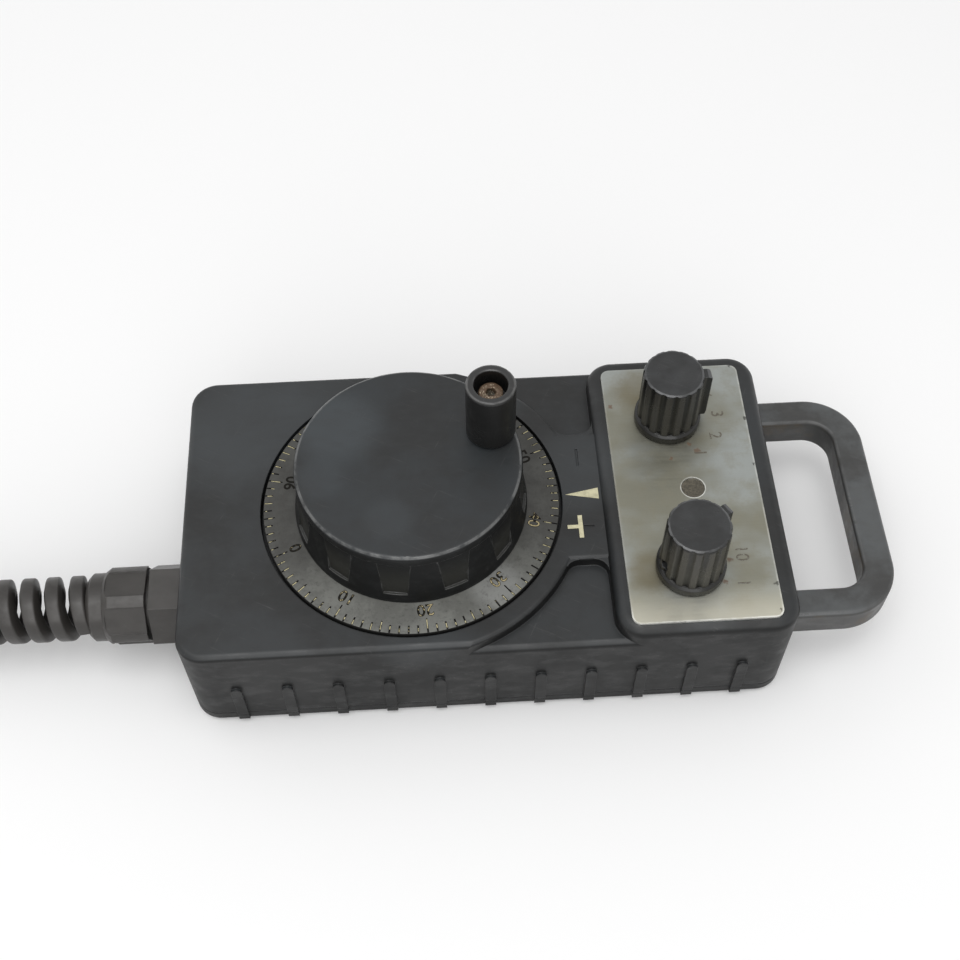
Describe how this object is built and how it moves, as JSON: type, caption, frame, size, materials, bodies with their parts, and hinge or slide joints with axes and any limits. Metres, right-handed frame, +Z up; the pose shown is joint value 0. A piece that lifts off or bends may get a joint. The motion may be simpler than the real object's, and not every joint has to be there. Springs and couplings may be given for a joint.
{
  "type": "pulse generator handwheel",
  "caption": "Handheld pulse generator: cranked handwheel with a graduated dial ring on a ribbed flat case, selector knobs on a metal plate, carrying loop and spiral cable gland.",
  "frame": {"origin": "on the case's flat underside, straight below the handwheel's axis", "axes": "+X along the case to the carrying loop (the cable gland is at -X), +Y to the far long side, +Z up out of the dial along the handwheel's axis"},
  "size_m": [0.2012, 0.0672, 0.0566],
  "materials": {
    "case_plastic": "fine-grained moulded dark grey, scuffed",
    "handle_plastic": "smooth moulded dark grey, lightly rubbed",
    "wheel_plastic": "satin dark grey with rubbed edges",
    "ring_plastic": "satin dark grey, engraved and filled with cream paint",
    "grip_plastic": "smooth dark grey",
    "knob_plastic": "smooth black with rubbed edges",
    "inner_plastic": "moulded black",
    "gland_plastic": "satin black",
    "plate_metal": "brushed and worn, tarnished in places",
    "mark_paint": "cream paint in a shallow engraving",
    "lens_plastic": "smoky translucent plastic, scratched",
    "lamp_epoxy": "milky epoxy",
    "rubber": "matt black rubber",
    "steel": "zinc-plated steel",
    "nickel_brass": "nickel-plated brass",
    "shaft_steel": "turned steel",
    "black_steel": "blackened steel",
    "rusty_steel": "steel gone brown with rust",
    "bronze": "sintered bronze",
    "code_disc": "thin bright slotted disc",
    "board": "green lacquered glass-fibre board",
    "terminal_plastic": "green moulded plastic"
  },
  "bodies": {
    "case": {"front_case": "case_plastic", "back_cover": "case_plastic", "case_gasket": "rubber", "case_screws": "steel", "index_marks": "mark_paint", "panel_plate": "plate_metal", "indicator_lens": "lens_plastic", "indicator_lamp": "lamp_epoxy", "carry_handle": "handle_plastic", "handle_screws": "steel", "encoder_body": "inner_plastic", "encoder_cover": "inner_plastic", "encoder_bushes": "bronze", "encoder_board": "board", "encoder_screws": "steel", "axis_switch": "inner_plastic", "step_switch": "inner_plastic", "switch_nuts": "nickel_brass", "circuit_board": "board", "board_screws": "steel", "terminal_block": "terminal_plastic", "gland_body": "gland_plastic", "gland_locknut": "steel", "gland_washer": "rubber", "gland_seal": "rubber", "gland_dome_nut": "gland_plastic", "gland_spiral": "gland_plastic"},
    "wheel": {"handwheel": "wheel_plastic", "dial_ring": "ring_plastic", "ring_screws": "steel", "hub_set_screw": "black_steel", "crank_sleeve": "shaft_steel", "crank_screw": "rusty_steel", "encoder_shaft": "shaft_steel", "encoder_disc": "code_disc"},
    "grip": {"crank_grip": "grip_plastic"},
    "axis_selector": {"axis_knob": "knob_plastic", "axis_shaft": "shaft_steel", "axis_set_screw": "black_steel"},
    "step_selector": {"step_knob": "knob_plastic", "step_shaft": "shaft_steel", "step_set_screw": "black_steel"}
  },
  "joints": [
    {"name": "wheel_turn", "type": "hinge", "parent": "case", "child": "wheel", "pos_m": [0, 0, 0.0277], "axis": [0, 0, 1], "continuous": true},
    {"name": "grip_spin", "type": "hinge", "parent": "wheel", "child": "grip", "pos_m": [0.0164, 0.0064, 0.042], "axis": [0, 0, 1], "continuous": true},
    {"name": "axis_select", "type": "hinge", "parent": "case", "child": "axis_selector", "pos_m": [0.0537, 0.01645, 0.029], "axis": [0, 0, 1], "range_deg": [-60, 90]},
    {"name": "step_select", "type": "hinge", "parent": "case", "child": "step_selector", "pos_m": [0.0537, -0.01925, 0.029], "axis": [0, 0, 1], "range_deg": [-60, 60]}
  ]
}
